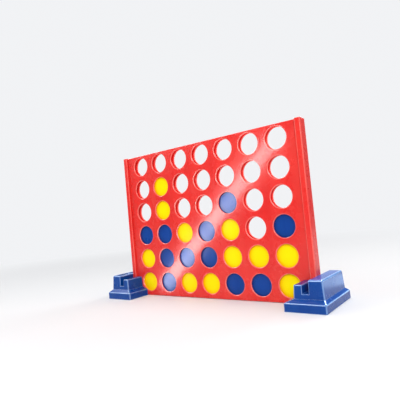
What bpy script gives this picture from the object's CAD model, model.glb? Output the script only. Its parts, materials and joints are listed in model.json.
"""Upright four-in-a-row game: a red grid of seven columns and six rows on two blue feet.

The grid is wide along X and thin along Y, and its front faces -Y. Two pierced panels hold the
yellow and blue discs between them, and a release bar slides along X in their lower edges.
Lengths are metres; a value times MM is written in millimetres. Columns count from -X to +X,
rows from the top down.
"""
import json
import math
import bmesh
import bpy
from mathutils import Matrix, Vector


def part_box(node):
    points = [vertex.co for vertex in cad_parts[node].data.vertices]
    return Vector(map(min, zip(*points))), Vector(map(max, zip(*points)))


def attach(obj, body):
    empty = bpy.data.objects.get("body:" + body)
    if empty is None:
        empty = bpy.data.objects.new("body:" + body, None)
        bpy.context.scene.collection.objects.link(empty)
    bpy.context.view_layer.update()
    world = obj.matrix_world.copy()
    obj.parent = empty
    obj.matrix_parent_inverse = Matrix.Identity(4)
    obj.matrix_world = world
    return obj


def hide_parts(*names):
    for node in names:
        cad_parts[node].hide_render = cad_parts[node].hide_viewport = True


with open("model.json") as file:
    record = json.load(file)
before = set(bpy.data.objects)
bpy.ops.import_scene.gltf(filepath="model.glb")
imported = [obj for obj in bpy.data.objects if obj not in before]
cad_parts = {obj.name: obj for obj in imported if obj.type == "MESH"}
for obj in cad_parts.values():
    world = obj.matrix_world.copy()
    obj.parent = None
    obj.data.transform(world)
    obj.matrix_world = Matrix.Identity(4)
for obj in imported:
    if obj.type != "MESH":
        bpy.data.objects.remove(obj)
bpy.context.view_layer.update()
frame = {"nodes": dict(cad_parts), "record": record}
nodes = frame["nodes"]
behaviour = frame["record"]["behaviour"]
MM = 0.001


# ---------------------------------------------------------------- dimensions read from the frame
def corners(node):
    """The low and high corners of a CAD node's box."""
    lo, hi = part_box(node)
    return Vector(lo), Vector(hi)


front_lo, front_hi = corners("front_panel")
rear_lo, rear_hi = corners("rear_panel")
foot_lo, foot_hi = corners("right_foot")
post_hi = corners("right_end_post")[1]
bar_lo, bar_hi = corners("release_bar")
PANEL_X = front_hi.x      # half the panels' width
Z_BOT, Z_TOP = front_lo.z, front_hi.z
BAR_TRAVEL = max(j["range_m"][1] for j in behaviour["joints"] if j["name"] == "release_bar_slide")

body_of = {member: body for body, members in behaviour["bodies"].items() for member in members}

# Disc nodes are named disc_col<column>_row<row>_<colour>
disc_nodes = sorted(n for n in nodes if n.startswith("disc_"))
disc_centres = {}
seen_x, seen_z = {}, {}
for node in disc_nodes:
    lo, hi = corners(node)
    centre = (lo + hi) / 2
    disc_centres[node] = centre
    seen_x[int(node.split("_")[1][3:])] = centre.x
    seen_z[int(node.split("_")[2][3:])] = centre.z

COLUMNS, ROWS = 7, 6
COLUMN_PITCH = (seen_x[7] - seen_x[1]) / 6
ROW_PITCH = (seen_z[3] - seen_z[6]) / 3
disc_lo, disc_hi = corners(disc_nodes[0])
DISC_RADIUS = (disc_hi.x - disc_lo.x) / 2
DISC_THICKNESS = disc_hi.y - disc_lo.y
HOLE_RADIUS = 11.85 * MM


def column_x(column):
    return seen_x[4] + (column - 4) * COLUMN_PITCH


def row_z(row):
    return seen_z[6] + (6 - row) * ROW_PITCH


# ---------------------------------------------------------------- materials
class Shader:
    """Short ways to add nodes to a node tree. An input is given as a value or as a socket."""

    def __init__(self, tree):
        self.tree = tree

    def put(self, value, socket):
        if isinstance(value, bpy.types.NodeSocket):
            self.tree.links.new(value, socket)
        elif socket.type == "RGBA":
            socket.default_value = (*value, 1.0)
        else:
            socket.default_value = value

    def add(self, kind, inputs=None, **properties):
        node = self.tree.nodes.new("ShaderNode" + kind)
        for key, value in properties.items():
            setattr(node, key, value)
        for key, value in (inputs or {}).items():
            self.put(value, node.inputs[key])
        return node

    def noise(self, vector, scale, detail, roughness=0.5):
        return self.add("TexNoise", {"Scale": scale, "Detail": detail, "Roughness": roughness,
                                     "Vector": vector}).outputs["Fac"]

    def ramp(self, source, low, high, falling=False):
        """Black to white between low and high, or white to black when falling."""
        node = self.add("ValToRGB", {0: source})
        first, last = node.color_ramp.elements
        first.position, last.position = low, high
        if falling:
            first.color, last.color = (1, 1, 1, 1), (0, 0, 0, 1)
        return node.outputs[0]

    def mix(self, factor, a, b):
        return self.add("Mix", {0: factor, 6: a, 7: b}, data_type="RGBA").outputs[2]

    def maths(self, operation, a, b):
        return self.add("Math", {0: a, 1: b}, operation=operation).outputs[0]


def new_material(name):
    material = bpy.data.materials.new(name)
    material.use_nodes = True
    material.node_tree.nodes.clear()
    return material, Shader(material.node_tree)


def worn_edges(shader, place, radius, wear):
    """How worn the surface is: patchy, and only along convex edges."""
    bevel = shader.add("Bevel", {"Radius": radius}, samples=4)
    geometry = shader.add("NewGeometry")
    dot = shader.add("VectorMath", {0: bevel.outputs[0], 1: geometry.outputs["Normal"]},
                     operation="DOT_PRODUCT")
    bend = shader.maths("SUBTRACT", 1.0, dot.outputs["Value"])
    edge = shader.ramp(bend, low=0.008, high=0.10)
    patches = shader.ramp(shader.noise(place, scale=420.0, detail=4.0, roughness=0.7),
                          low=0.40, high=0.70)
    patches = shader.maths("ADD", shader.maths("MULTIPLY", patches, 0.6), 0.4)
    return shader.maths("MULTIPLY", shader.maths("MULTIPLY", edge, patches), wear)


def peel_and_scuffs(shader, place, strength):
    """Bump normal of fine orange peel crossed by hairline scuffs."""
    peel = shader.noise(place, scale=650.0, detail=2.0)
    slanted = shader.add("Mapping", {"Scale": (1.0, 1.0, 14.0), "Rotation": (0.4, 0.9, 0.3),
                                     0: place}).outputs[0]
    scuffs = shader.ramp(shader.noise(slanted, scale=150.0, detail=6.0, roughness=0.8),
                         low=0.62, high=0.72)
    height = shader.maths("SUBTRACT", peel, shader.maths("MULTIPLY", scuffs, 0.35))
    return shader.add("Bump", {"Strength": strength, "Distance": 0.00012,
                               "Height": height}).outputs[0]


def plastic(name, base, deep, lit, rough, coat, spec=0.35, peel=0.10, wear=0.35,
            edge_radius=0.0009, edge_colour=None, shade=None, scatter=None):
    """Moulded plastic.

    base and deep are the two ends of the slow colour drift, and lit tints the flow marks.
    edge_colour (else lit) shows on worn edges. shade is a deeper tint for sheltered places,
    scatter is the subsurface weight and radius.
    """
    material, shader = new_material(name)
    place = shader.add("TexCoord").outputs["Object"]

    # slow drift of pigment, and long flow marks left by the mould
    drift = shader.ramp(shader.noise(place, scale=17.0, detail=2.0), low=0.35, high=0.68)
    stretched = shader.add("Mapping", {"Scale": (1.0, 1.0, 0.16), 0: place}).outputs[0]
    flow = shader.ramp(shader.noise(stretched, scale=70.0, detail=4.0, roughness=0.6),
                       low=0.42, high=0.75)
    colour = shader.mix(drift, deep, base)
    colour = shader.mix(shader.maths("MULTIPLY", flow, 0.22), colour, lit)

    worn = worn_edges(shader, place, edge_radius, wear)
    colour = shader.mix(worn, colour, edge_colour or lit)
    if shade:
        # deeper tint where the plastic sits close behind the edge of a view hole
        openness = shader.add("AmbientOcclusion", {"Distance": shade["distance"]}, samples=4)
        low, high = shade["openness"]
        sheltered = shader.ramp(openness.outputs["AO"], low, high, falling=True)
        colour = shader.mix(shader.maths("MULTIPLY", sheltered, 0.75), colour, shade["colour"])

    # gloss that varies with handling marks
    smear = shader.ramp(shader.noise(place, scale=46.0, detail=5.0, roughness=0.65),
                        low=0.38, high=0.72)
    roughness = shader.maths("ADD", shader.maths("MULTIPLY", smear, 0.09), rough - 0.03)
    roughness = shader.maths("ADD", roughness, shader.maths("MULTIPLY", worn, 0.10))

    normal = peel_and_scuffs(shader, place, peel)
    inputs = {"Base Color": colour, "Specular IOR Level": spec, "Roughness": roughness,
              "Coat Weight": coat, "Coat Roughness": 0.13, "IOR": 1.49,
              "Normal": normal, "Coat Normal": normal}
    if scatter:
        inputs["Subsurface Weight"] = scatter["weight"]
        inputs["Subsurface Radius"] = scatter["radius"]
        inputs["Subsurface Scale"] = 1.0
    surface = shader.add("BsdfPrincipled", inputs)
    shader.add("OutputMaterial", {0: surface.outputs[0]})
    return material


RED = plastic(
    "frame_red_plastic",
    base=(0.765, 0.028, 0.021), deep=(0.725, 0.020, 0.017), lit=(0.90, 0.09, 0.065),
    rough=0.27, coat=0.18, spec=0.30, wear=0.45, edge_colour=(0.96, 0.30, 0.26),
    scatter=dict(weight=0.38, radius=(0.0040, 0.0004, 0.0003)))
RIM = plastic(
    "frame_red_rim",
    base=(0.89, 0.145, 0.115), deep=(0.85, 0.09, 0.075), lit=(0.95, 0.28, 0.23),
    rough=0.20, coat=0.38, spec=0.5, wear=0.5, edge_colour=(0.97, 0.38, 0.33))
BLUE = plastic(
    "disc_blue_plastic",
    base=(0.0012, 0.052, 0.305), deep=(0.0008, 0.041, 0.250), lit=(0.015, 0.11, 0.46),
    rough=0.30, coat=0.06, spec=0.18, peel=0.14,
    shade=dict(colour=(0.001, 0.014, 0.10), distance=0.008, openness=(0.45, 0.97)))
YELLOW = plastic(
    "disc_yellow_plastic",
    base=(0.97, 0.81, 0.001), deep=(0.96, 0.76, 0.001), lit=(1.0, 0.88, 0.02),
    rough=0.30, coat=0.02, spec=0.05, peel=0.14,
    shade=dict(colour=(0.95, 0.36, 0.0), distance=0.010, openness=(0.45, 0.985)),
    scatter=dict(weight=0.04, radius=(0.0015, 0.0010, 0.0004)))
FOOT = plastic(
    "foot_blue_plastic",
    base=(0.0010, 0.050, 0.270), deep=(0.0009, 0.044, 0.245), lit=(0.015, 0.11, 0.38),
    rough=0.25, coat=0.07, spec=0.20, wear=0.40, edge_radius=0.0011,
    edge_colour=(0.38, 0.56, 0.88))
FOOT_EDGE = plastic(
    "foot_blue_edge",
    base=(0.075, 0.20, 0.50), deep=(0.055, 0.16, 0.42), lit=(0.26, 0.42, 0.72),
    rough=0.22, coat=0.9, spec=0.6, wear=0.3, edge_radius=0.0005,
    edge_colour=(0.38, 0.56, 0.88))
BAR = plastic(
    "bar_blue_plastic",
    base=(0.003, 0.060, 0.29), deep=(0.002, 0.048, 0.24), lit=(0.10, 0.24, 0.58),
    rough=0.28, coat=0.15)


# ---------------------------------------------------------------- mesh helpers
def make(name, bm, material):
    """A smooth-shaded object made from a bmesh, which is freed."""
    mesh = bpy.data.meshes.new(name)
    bmesh.ops.recalc_face_normals(bm, faces=bm.faces)
    bm.to_mesh(mesh)
    bm.free()
    obj = bpy.data.objects.new(name, mesh)
    bpy.context.scene.collection.objects.link(obj)
    mesh.materials.append(material)
    for face in mesh.polygons:
        face.use_smooth = True
    return obj


def apply_all(obj):
    """Replaces the object's mesh by its evaluated mesh."""
    bpy.context.view_layer.update()
    depsgraph = bpy.context.evaluated_depsgraph_get()
    mesh = bpy.data.meshes.new_from_object(obj.evaluated_get(depsgraph))
    old = obj.data
    obj.modifiers.clear()
    obj.data = mesh
    bpy.data.meshes.remove(old)


def sharpen(obj, degrees):
    obj.data.set_sharp_from_angle(angle=math.radians(degrees))


def weight_normals(obj):
    modifier = obj.modifiers.new("wn", "WEIGHTED_NORMAL")
    modifier.keep_sharp = True
    modifier.weight = 80
    apply_all(obj)


def register(obj, node, body):
    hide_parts(node)
    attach(obj, body)


def quarter(steps, start=0):
    """Sine and cosine at even steps from 0 to 90 degrees."""
    for i in range(start, steps + 1):
        angle = math.pi / 2 * i / steps
        yield math.sin(angle), math.cos(angle)


def circle(bm, x, z, radius, y, count, start=0.0):
    """A ring of vertices round an axis along Y."""
    angles = [start + 2 * math.pi * k / count for k in range(count)]
    return [bm.verts.new((x + radius * math.cos(a), y, z + radius * math.sin(a)))
            for a in angles]


def bridge(bm, a, b, material=0):
    """Quads between two closed rings of equal count."""
    for k in range(len(a)):
        after = (k + 1) % len(a)
        bm.faces.new((a[k], a[after], b[after], b[k])).material_index = material


def box_bm(lo, hi):
    bm = bmesh.new()
    bmesh.ops.create_cube(bm, size=1.0)
    lo, hi = Vector(lo), Vector(hi)
    for v in bm.verts:
        v.co = Vector([(lo[i] + hi[i]) / 2 + v.co[i] * (hi[i] - lo[i]) for i in range(3)])
    return bm


def cut(obj, cutters):
    for cutter in cutters:
        modifier = obj.modifiers.new("cut", "BOOLEAN")
        modifier.operation = "DIFFERENCE"
        modifier.solver = "EXACT"
        modifier.object = cutter
    apply_all(obj)
    for cutter in cutters:
        bpy.data.objects.remove(cutter)


# ---------------------------------------------------------------- the two panels
HOLE_SEGMENTS = 64
LIP = 0.80 * MM               # lip radius round each hole on the outer face
LIP_STEPS = 5
INNER_LIP_FRONT = 0.25 * MM   # lip radius on the inner face
INNER_LIP_REAR = 0.45 * MM    # larger: the rear panel's inner rims show through the holes
INNER_LIP_STEPS = 3
BORDER = 0.40 * MM            # rounding of the panel's outer edges
BORDER_STEPS = 4
BOTTOM_MARGIN = 1.2 * MM      # least flat strip below the lowest cells
TOP_MARGIN = 0.6 * MM         # and above the highest

GROOVE_Z0, GROOVE_Z1 = 1.1 * MM, 2.6 * MM
GROOVE_Y = 3.05 * MM          # the groove's floor, from the middle plane
GROOVE_PLAY = 0.4 * MM        # spare length at each end of the release bar
NOTCH_X = 7.3 * MM            # half width of the rear panel's notch at rest
NOTCH_DEPTH = 4 * MM
PIT_RADIUS, PIT_DEPTH = 1.8 * MM, 0.8 * MM
PIT_INSET = 3.8 * MM          # from the panel's side edges
PIT_HEIGHTS = (26, 70, 115, 158)   # mm
OVERCUT = 1 * MM              # how far cutters stand out of the face they enter


def cell_border(bm, x0, x1, z0, z1, y):
    """Points round a cell, one for each point of the hole, from the +x +z corner."""
    cell_corners = [(x1, z1), (x0, z1), (x0, z0), (x1, z0)]
    points = []
    per_side = HOLE_SEGMENTS // 4
    for k in range(HOLE_SEGMENTS):
        side, step = divmod(k, per_side)
        ax, az = cell_corners[side]
        bx, bz = cell_corners[(side + 1) % 4]
        along = step / per_side
        points.append(bm.verts.new((ax + (bx - ax) * along, y, az + (bz - az) * along)))
    return points


def add_cell(bm, column, row, side, y_out, y_in):
    """One view hole with its lips and the flat round it, on both faces."""
    x, z = column_x(column), row_z(row)
    x0, x1 = x - COLUMN_PITCH / 2, x + COLUMN_PITCH / 2
    z0 = max(z - ROW_PITCH / 2, Z_BOT + BOTTOM_MARGIN)
    z1 = min(z + ROW_PITCH / 2, Z_TOP - TOP_MARGIN)
    inner_lip = INNER_LIP_REAR if side > 0 else INNER_LIP_FRONT

    def ring(widening, y):
        return circle(bm, x, z, HOLE_RADIUS + widening, y, HOLE_SEGMENTS, start=math.pi / 4)

    flat_out = cell_border(bm, x0, x1, z0, z1, y_out)
    outer = [ring(LIP * (1 - s), y_out - side * LIP * (1 - c)) for s, c in quarter(LIP_STEPS)]
    inner = [ring(inner_lip * (1 - c), y_in + side * inner_lip * (1 - s))
             for s, c in quarter(INNER_LIP_STEPS)]
    flat_in = cell_border(bm, x0, x1, z0, z1, y_in)

    bridge(bm, flat_out, outer[0])
    for a, b in zip(outer[:-1], outer[1:]):
        bridge(bm, a, b, material=1)
    bridge(bm, outer[-1], inner[0])
    for a, b in zip(inner[:-1], inner[1:]):
        bridge(bm, a, b, material=1 if side > 0 else 0)
    bridge(bm, inner[-1], flat_in)


def boundary_loop(bm, y):
    """The open border at a given y, as vertices in order."""
    neighbours = {}
    start = None
    for edge in bm.edges:
        if edge.is_boundary and all(abs(v.co.y - y) < 1e-6 for v in edge.verts):
            a, b = edge.verts
            start = start or a
            neighbours.setdefault(a, []).append(b)
            neighbours.setdefault(b, []).append(a)
    loop, previous, current = [start], None, start
    while True:
        following = [v for v in neighbours[current] if v is not previous][0]
        if following is start:
            return loop
        loop.append(following)
        previous, current = current, following


def add_border(bm, side, y_out, y_in):
    """Pushes the edge of the cells out to the panel's edge, with a rounded outer rim."""
    outer = boundary_loop(bm, y_out)
    inner_at = {(round(v.co.x, 7), round(v.co.z, 7)): v for v in boundary_loop(bm, y_in)}
    inner = [inner_at[(round(v.co.x, 7), round(v.co.z, 7))] for v in outer]
    x_range = min(v.co.x for v in outer), max(v.co.x for v in outer)
    z_range = min(v.co.z for v in outer), max(v.co.z for v in outer)

    def moved(value, old_range, low, high):
        if abs(value - old_range[0]) < 1e-6:
            return low
        if abs(value - old_range[1]) < 1e-6:
            return high
        return value

    def pushed(inset, y):
        return [bm.verts.new((moved(v.co.x, x_range, -PANEL_X + inset, PANEL_X - inset), y,
                              moved(v.co.z, z_range, Z_BOT + inset, Z_TOP - inset)))
                for v in outer]

    rings = [outer]
    for s, c in quarter(BORDER_STEPS):
        rings.append(pushed(BORDER * (1 - s), y_out - side * BORDER * (1 - c)))
    rings += [pushed(0.0, y_in), inner]
    for a, b in zip(rings[:-1], rings[1:]):
        bridge(bm, a, b)


def panel_cutters(side, y_in):
    """The release bar's groove, the rear panel's notch and the round pits of the inner face."""
    y0, y1 = sorted((y_in - side * OVERCUT, side * GROOVE_Y))
    groove = box_bm((bar_lo.x - GROOVE_PLAY, y0, GROOVE_Z0),
                    (bar_hi.x + BAR_TRAVEL + GROOVE_PLAY, y1, GROOVE_Z1))
    cutters = [make("groove_cutter", groove, RED)]
    if side > 0:
        notch = box_bm((-NOTCH_X, y_in - OVERCUT, -OVERCUT),
                       (NOTCH_X + BAR_TRAVEL, y_in + NOTCH_DEPTH, GROOVE_Z1))
        cutters.append(make("notch_cutter", notch, RED))
    pits = bmesh.new()
    for x_side in (-1, 1):
        for z in PIT_HEIGHTS:
            a, b = (circle(pits, x_side * (PANEL_X - PIT_INSET), z * MM, PIT_RADIUS, y, 32)
                    for y in (y_in - side * OVERCUT, y_in + side * PIT_DEPTH))
            bridge(pits, a, b)
            pits.faces.new(a)
            pits.faces.new(b)
    cutters.append(make("pit_cutter", pits, RED))
    return cutters


def panel(name, side, y_out, y_in):
    """A plate with 42 round view holes. side is -1 for the front panel and 1 for the rear."""
    bm = bmesh.new()
    for column in range(1, COLUMNS + 1):
        for row in range(1, ROWS + 1):
            add_cell(bm, column, row, side, y_out, y_in)
    bmesh.ops.remove_doubles(bm, verts=bm.verts, dist=0.01 * MM)
    add_border(bm, side, y_out, y_in)
    obj = make(name, bm, RED)
    obj.data.materials.append(RIM)
    cut(obj, panel_cutters(side, y_in))
    for face in obj.data.polygons:
        face.use_smooth = True
    sharpen(obj, 35)
    weight_normals(obj)
    return obj


front = panel("front_panel_moulding", side=-1, y_out=front_lo.y, y_in=front_hi.y)
register(front, "front_panel", "frame")
rear = panel("rear_panel_moulding", side=1, y_out=rear_hi.y, y_in=rear_lo.y)
register(rear, "rear_panel", "frame")

# ---------------------------------------------------------------- posts, strips, bar and feet
# Both share functions below work in mm on the right-hand side: p and q are an edge's ends with
# x and y made positive. They give the edge's share of the bevel width.
POST_X0, POST_X1, POST_Z1 = PANEL_X / MM, post_hi.x / MM, post_hi.z / MM
GAP_Y = -front_lo.y / MM + 0.2      # side walls of the gap the grid passes through
FOOT_X0, FOOT_X1 = foot_lo.x / MM, foot_hi.x / MM
FOOT_Y, FOOT_Z1 = foot_hi.y / MM, foot_hi.z / MM


def foot_share(p, q, convex):
    if not convex:
        return 0.0
    run_x, run_y, run_z = abs(p.x - q.x), abs(p.y - q.y), abs(p.z - q.z)
    low, high = min(p.z, q.z), max(p.z, q.z)
    at_gap = any(abs(v.y - GAP_Y) < 0.05 for v in (p, q))
    within_gap = run_x < 0.05 and max(p.y, q.y) < GAP_Y + 0.1
    if at_gap and (run_y < 0.05 or within_gap):
        return 0.0
    if high < 0.05:     # edges on the ground: only the outline is rounded
        on_side = min(p.x, q.x) < FOOT_X0 + 0.1 or max(p.x, q.x) > FOOT_X1 - 0.1
        outline = on_side and run_x < 0.1 or min(p.y, q.y) > FOOT_Y - 0.1
        return 0.35 if outline else 0.0
    if low < 0.05 and max(p.y, q.y) < FOOT_Y - 0.1:     # wells of the hollow underside
        return 0.0
    if run_z < 0.05 and 12.0 < low < 20.0:     # ends of the slot's floor
        return 0.35
    if run_x < 0.05 and POST_X0 - 1.0 < p.x < POST_X1 + 1.0 and run_z > 5.0:
        return 0.6      # corners beside the slot
    if low > FOOT_Z1 - 0.1 and run_y < 0.1:     # front and rear edges of the top
        return 1.7
    if run_z < 0.05 and 6.0 < low < 10.0:     # upper edge of the base
        return 0.7
    return 1.0


def post_share(p, q, convex):
    inner_x = min(p.x, q.x)
    beyond_panel = inner_x > POST_X0 - 0.001
    front_or_rear = beyond_panel and min(p.y, q.y) > 5.0
    across = inner_x > POST_X1 - 0.7 and abs(p.z - q.z) < 0.01
    top = beyond_panel and min(p.z, q.z) > POST_Z1 - 0.01
    return 1.0 if convex and (front_or_rear or across or top) else 0.0


def moulding(node, name, body, material, width, segments=3, share=None,
             edge_material=None):
    """A copy of a CAD node's shape with its edges rounded.

    width is the bevel in mm. share(p, q, convex) gives each sharp edge's part of it.
    """
    sharp_angle = math.radians(24.0)
    source = nodes[node].data.copy()
    bm = bmesh.new()
    bm.from_mesh(source)
    bmesh.ops.remove_doubles(bm, verts=bm.verts, dist=0.002 * MM)
    bmesh.ops.dissolve_limit(bm, angle_limit=math.radians(1.0), verts=bm.verts, edges=bm.edges)
    if share:
        weights = bm.edges.layers.float.new("bevel_weight_edge")
        for edge in bm.edges:
            if len(edge.link_faces) != 2:
                continue
            angle = edge.calc_face_angle_signed()
            if abs(angle) > sharp_angle:
                p, q = (Vector((abs(v.co.x), abs(v.co.y), v.co.z)) / MM for v in edge.verts)
                edge[weights] = share(p, q, angle > 0)
    obj = make(name, bm, material)
    bpy.data.meshes.remove(source)

    bevel = obj.modifiers.new("bevel", "BEVEL")
    bevel.width = width * MM
    bevel.segments = segments
    bevel.limit_method = "WEIGHT" if share else "ANGLE"
    bevel.angle_limit = sharp_angle
    bevel.use_clamp_overlap = share is None
    if edge_material:
        obj.data.materials.append(edge_material)
        bevel.material = 1
    if not share:
        bevel.miter_outer = "MITER_ARC"
    apply_all(obj)
    sharpen(obj, 30 if share else 40)
    if share:      # inner corners stay crisp, however shallow
        bm = bmesh.new()
        bm.from_mesh(obj.data)
        for edge in bm.edges:
            if len(edge.link_faces) == 2 and edge.calc_face_angle_signed() < math.radians(-4.0):
                edge.smooth = False
        bm.to_mesh(obj.data)
        bm.free()
    weight_normals(obj)
    register(obj, node, body)
    return obj


for hand in ("left", "right"):
    moulding(f"{hand}_end_post", f"{hand}_end_post_moulding", "frame", RED,
             width=0.24, share=post_share, edge_material=RIM)
moulding("column_dividers", "column_divider_strips", "frame", RED, width=0.25)
moulding("release_bar", "release_bar_moulding", "release_bar", BAR, width=0.14)
feet = [moulding(f"{hand}_foot", f"{hand}_foot_moulding", f"{hand}_foot", FOOT,
                 width=1.0, segments=5, share=foot_share, edge_material=FOOT_EDGE)
        for hand in ("left", "right")]

# the locating pegs keep their CAD shape
peg_materials = nodes["locating_pegs"].data.materials
peg_materials.clear()
peg_materials.append(RED)

# ---------------------------------------------------------------- discs
DISC_SEGMENTS = 96
FACE_RADII = (0, 2, 5, 8, 10)   # mm, rings of the sunk face
RIM_WIDTH = 2.6 * MM
FACE_SINK = 0.5 * MM
FACE_FOOT = 0.5 * MM            # width of the curve from the face up to the rim
FACE_FOOT_RISE = 0.25 * MM
RIM_INNER_ROUND = 0.3 * MM
RIM_OUTER_ROUND = 0.7 * MM


def disc_profile():
    """(radius, y) from the centre of one face, over the rim, to the centre of the other."""
    top = DISC_THICKNESS / 2
    face = top - FACE_SINK
    rim = DISC_RADIUS - RIM_WIDTH
    foot = rim - FACE_FOOT
    inner, outer = RIM_INNER_ROUND, RIM_OUTER_ROUND
    half = [(radius * MM, face) for radius in FACE_RADII]
    half.append((foot, face))
    half += [(foot + FACE_FOOT * s, face + FACE_FOOT_RISE * (1 - c)) for s, c in quarter(4, 1)]
    half += [(rim + inner * (1 - c), top - inner + inner * s) for s, c in quarter(4)]
    half += [(DISC_RADIUS - outer + outer * s, top - outer + outer * c) for s, c in quarter(6)]
    return half + [(radius, -y) for radius, y in reversed(half)]


def disc(name, centre, material, spin):
    """A turned disc with a rounded rim and a sunk face on each side."""
    bm = bmesh.new()
    profile = disc_profile()
    first = bm.verts.new((centre.x, centre.y + profile[0][1], centre.z))
    rings = [circle(bm, centre.x, centre.z, radius, centre.y + y, DISC_SEGMENTS, spin)
             for radius, y in profile[1:-1]]
    last = bm.verts.new((centre.x, centre.y + profile[-1][1], centre.z))
    for a, b in zip(rings[0], rings[0][1:] + rings[0][:1]):
        bm.faces.new((first, a, b))
    for a, b in zip(rings[:-1], rings[1:]):
        bridge(bm, a, b)
    for a, b in zip(rings[-1], rings[-1][1:] + rings[-1][:1]):
        bm.faces.new((a, b, last))
    obj = make(name, bm, material)
    sharpen(obj, 50)
    return obj


discs = []
for i, node in enumerate(disc_nodes):
    material, slot = (BLUE, "disc_blue") if node.endswith("blue") else (YELLOW, "disc_yellow")
    obj = disc(node.replace("disc_", "playing_disc_"), disc_centres[node], material,
               spin=0.37 * i)
    register(obj, node, body_of[node])
    discs.append(obj)

# ---------------------------------------------------------------- floor and surround
SURROUND = (0.93, 0.94, 0.96)
SURROUND_LEVEL = 0.95
FADE_START, FADE_END = 0.20, 1.15   # distance from the origin


def floor_material():
    """Pale floor. Away from the game the camera sees it fade into the surround."""
    material, shader = new_material("pale_floor")
    tint = shader.add("ValToRGB", {0: shader.add("TexNoise", {"Scale": 3.0}).outputs["Fac"]})
    first, last = tint.color_ramp.elements
    first.color, last.color = (0.77, 0.77, 0.78, 1), (0.81, 0.81, 0.81, 1)
    surface = shader.add("BsdfPrincipled", {"Base Color": tint.outputs[0], "Roughness": 0.6,
                                            "Specular IOR Level": 0.12})
    position = shader.add("NewGeometry").outputs["Position"]
    distance = shader.add("VectorMath", {0: position}, operation="LENGTH").outputs["Value"]
    fade = shader.add("MapRange", {"From Min": FADE_START, "From Max": FADE_END,
                                   "Value": distance}, interpolation_type="SMOOTHSTEP")
    camera_ray = shader.add("LightPath").outputs["Is Camera Ray"]
    amount = shader.maths("MULTIPLY", fade.outputs["Result"], camera_ray)
    surround = shader.add("Emission", {"Color": SURROUND, "Strength": SURROUND_LEVEL})
    both = shader.add("MixShader", {0: amount, 1: surface.outputs[0], 2: surround.outputs[0]})
    shader.add("OutputMaterial", {0: both.outputs[0]})
    return material


floor_look = floor_material()
floor_bm = bmesh.new()
bmesh.ops.create_circle(floor_bm, cap_ends=True, radius=40.0, segments=64)
floor = make("floor", floor_bm, floor_look)

# the world lights the scene dimly, but the camera sees the bright surround
scene = bpy.context.scene
world = bpy.data.worlds.new("studio")
scene.world = world
world.use_nodes = True
sky = Shader(world.node_tree)
ambient = world.node_tree.nodes["Background"]
sky.put((0.93, 0.96, 1.0), ambient.inputs["Color"])
sky.put(0.25, ambient.inputs["Strength"])
backdrop = sky.add("Background", {"Color": SURROUND, "Strength": SURROUND_LEVEL})
seen = sky.add("MixShader", {0: sky.add("LightPath").outputs["Is Camera Ray"],
                             1: ambient.outputs[0], 2: backdrop.outputs[0]})
sky.put(seen.outputs[0], world.node_tree.nodes["World Output"].inputs[0])


# ---------------------------------------------------------------- lights
def collection_of(name, objects):
    collection = bpy.data.collections.new(name)
    for obj in objects:
        collection.objects.link(obj)
    return collection


def area(name, at, size, power, target=(0, 0, 0.08), turn=None, colour=(1, 1, 1),
         glossy_only=False, only=None, blockers=None):
    """A rectangular light aimed at target, or turned by the given rotation.

    only lists the objects it lights, and blockers those that cast its shadows.
    """
    data = bpy.data.lights.new(name, "AREA")
    data.shape = "RECTANGLE"
    data.size, data.size_y = size
    data.energy = power
    data.color = colour
    obj = bpy.data.objects.new(name, data)
    scene.collection.objects.link(obj)
    if turn is None:
        turn = (Vector(target) - Vector(at)).to_track_quat("-Z", "Y").to_euler()
    obj.location = at
    obj.rotation_euler = turn
    if glossy_only:
        obj.visible_diffuse = False
    if only:
        obj.light_linking.receiver_collection = collection_of(name + "_receivers", only)
    if blockers:
        obj.light_linking.blocker_collection = collection_of(name + "_blockers", blockers)
    return obj


area("key", at=(0.70, -1.05, 0.85), size=(0.9, 0.9), power=16.5)
area("side", at=(1.35, 0.15, 0.60), target=(0, 0, 0.06), size=(0.8, 0.8), power=2.5)
area("fill", at=(-1.1, -0.8, 0.9), size=(1.0, 1.0), power=6)
area("top", at=(0.0, 0.2, 1.5), target=(0, 0, 0.05), size=(0.7, 0.7), power=10.5)
area("back", at=(0.4, 1.2, 0.9), size=(0.6, 0.5), power=6)

# seen only in reflections: a strip at the right that draws the hole rims and moulded edges,
# and a high card at the left
area("edge_strip", at=(0.85, -0.62, 0.42), size=(0.35, 0.9), power=7, glossy_only=True,
     only=[front, rear] + discs + feet)
area("sky_strip", at=(-0.75, -0.15, 1.0), size=(0.6, 0.6), power=18, glossy_only=True)

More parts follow.
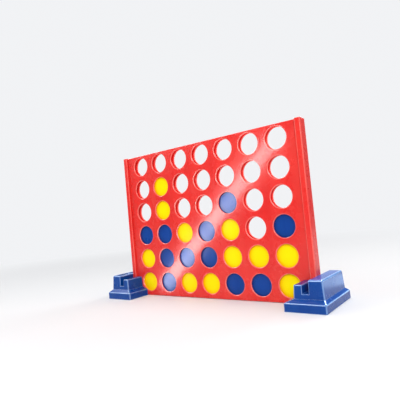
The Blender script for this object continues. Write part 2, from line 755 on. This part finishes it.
# a slanting strip close to the front lays a soft glare band across the grid
GLARE_TOP, GLARE_BOTTOM = Vector((0.060, -0.085, 0.185)), Vector((-0.104, -0.036, 0.004))
GLARE_WIDTH = 0.018
along = (GLARE_TOP - GLARE_BOTTOM).normalized()
away = Vector((0, -1, 0))
away = (away - along * away.dot(along)).normalized()
glare_turn = Matrix((along.cross(away), along, away)).transposed().to_euler()
for name, power, receivers in (("glare_strip", 0.145, [front, rear]),
                               ("glare_strip_discs", 0.250, discs)):
    strip = area(name, at=(GLARE_TOP + GLARE_BOTTOM) / 2, turn=glare_turn,
                 size=(GLARE_WIDTH, (GLARE_BOTTOM - GLARE_TOP).length), power=power,
                 glossy_only=True, only=receivers)
    strip.data.spread = math.radians(120)     # the band fades out for views far to the side

# a pale card far behind, seen only in the tops of the feet
area("foot_card", at=(-0.32, 1.10, 0.26), target=(0.10, 0, 0.02), size=(1.0, 0.45),
     power=0.85, glossy_only=True, only=feet)
# a cool light that only the feet receive, for their bright sides and tops
area("foot_kicker", at=(0.12, 0.90, 1.15), target=(0.12, 0, 0.02), size=(0.6, 0.6),
     power=34, colour=(0.80, 0.96, 0.93), only=feet)
# a high card that the rounded front edges of the feet mirror
area("foot_glint", at=(-0.32, -0.865, 0.61), target=(0.12, -0.035, 0.03), size=(0.34, 0.34),
     power=4.5, glossy_only=True, only=feet)
# a small card beside the right foot, mirrored in the upper part of its outer side
area("foot_side_card", at=(0.172, 0.066, 0.0135), target=(0.1395, -0.012, 0.024),
     size=(0.050, 0.012), power=0.0052, colour=(0.50, 0.72, 1.0), glossy_only=True, only=feet)
# light that reaches the disc channels through the thin front wall: only the rear panel
# receives it, and the front does not stop it
area("channel_fill", at=(0.55, -1.0, 0.35), size=(0.8, 0.8), power=5.5, only=[rear],
     blockers=[floor])

# ---------------------------------------------------------------- camera
CAMERA_AT = Vector((264.5, -364.1, 92.0)) * MM
CAMERA_ROLL = math.radians(-5.25)
forward = Vector((-0.5978, 0.8001, 0.0496)).normalized()
level_right = forward.cross(Vector((0, 0, 1))).normalized()
level_up = level_right.cross(forward).normalized()
right = level_right * math.cos(CAMERA_ROLL) + level_up * math.sin(CAMERA_ROLL)
up = level_up * math.cos(CAMERA_ROLL) - level_right * math.sin(CAMERA_ROLL)

camera_data = bpy.data.cameras.new("camera")
camera_data.sensor_width = 36.0
camera_data.sensor_fit = "HORIZONTAL"
camera_data.lens = 34.74
camera_data.clip_start = 0.01
camera = bpy.data.objects.new("camera", camera_data)
scene.collection.objects.link(camera)
pose = Matrix((right, up, -forward)).transposed().to_4x4()
pose.translation = CAMERA_AT
camera.matrix_world = pose
scene.camera = camera
scene.view_settings.view_transform = "Standard"
scene.view_settings.look = "None"
scene.view_settings.exposure = 0.0
